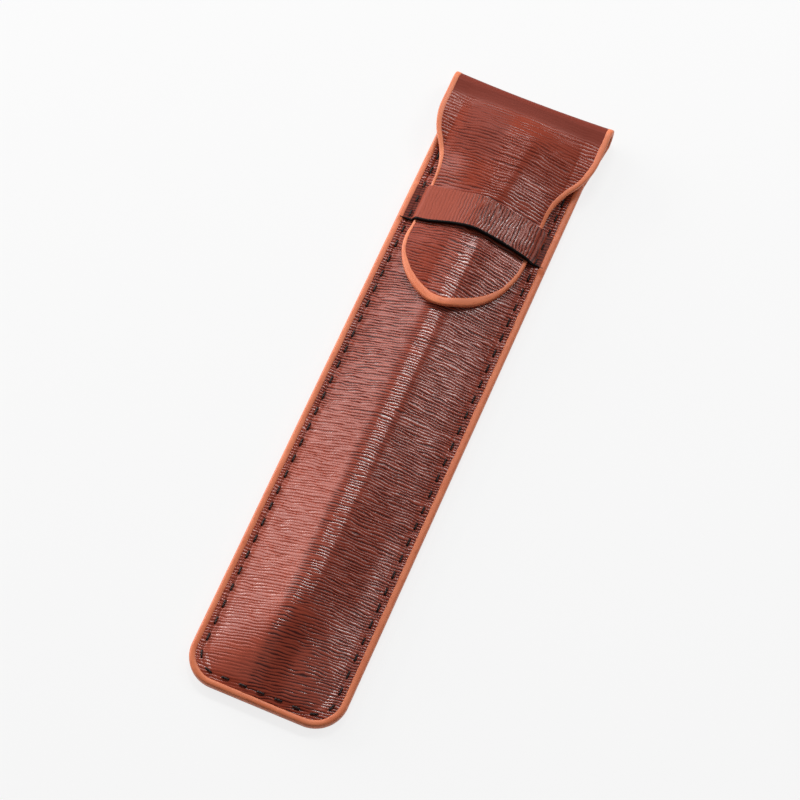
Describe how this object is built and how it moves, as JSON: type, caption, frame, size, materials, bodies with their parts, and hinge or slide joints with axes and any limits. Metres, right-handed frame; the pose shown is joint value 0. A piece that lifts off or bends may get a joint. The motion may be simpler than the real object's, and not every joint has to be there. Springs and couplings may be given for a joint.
{
  "type": "pen sleeve",
  "caption": "Flat leather sleeve for a single pen, with a tent-shaped sewn pocket, a fold-over flap and a keeper strap that holds the flap's round tongue.",
  "frame": {"origin": "middle of the sleeve's outline, on the plane that its back lies on", "axes": "+X across the sleeve, +Y along it towards the fold, +Z out of the front"},
  "size_m": [0.0422, 0.17, 0.0106],
  "materials": {
    "brown_leather": "semi-gloss embossed grain of fine wavy lines",
    "dark_lining": "matt brushed lining",
    "edge_paint": "satin orange-tan edge paint",
    "dark_edge": "matt black cut edge",
    "sewing_thread": "dark brown waxed thread"
  },
  "bodies": {
    "sleeve": {"back_edges": "edge_paint", "back_lining": "dark_lining", "back_panel": "brown_leather", "back_stitches": "sewing_thread", "body_edge": "edge_paint", "fold_edges": "edge_paint", "fold_lining": "dark_lining", "fold_panel": "brown_leather", "front_lining": "dark_lining", "front_panel": "brown_leather", "front_stitches": "sewing_thread", "keeper_edges": "dark_edge", "keeper_ends": "edge_paint", "keeper_strap": "brown_leather", "mouth_edge": "edge_paint"},
    "flap": {"flap_panel": "brown_leather", "flap_lining": "dark_lining", "flap_edge": "edge_paint"}
  },
  "joints": [
    {"name": "flap_hinge", "type": "hinge", "parent": "sleeve", "child": "flap", "pos_m": [0, 0.085, 0.0032], "axis": [-1, 0, 0], "range_deg": [0, 175], "deforming": ["fold_panel", "fold_lining", "fold_edges", "keeper_strap", "keeper_edges"]}
  ]
}
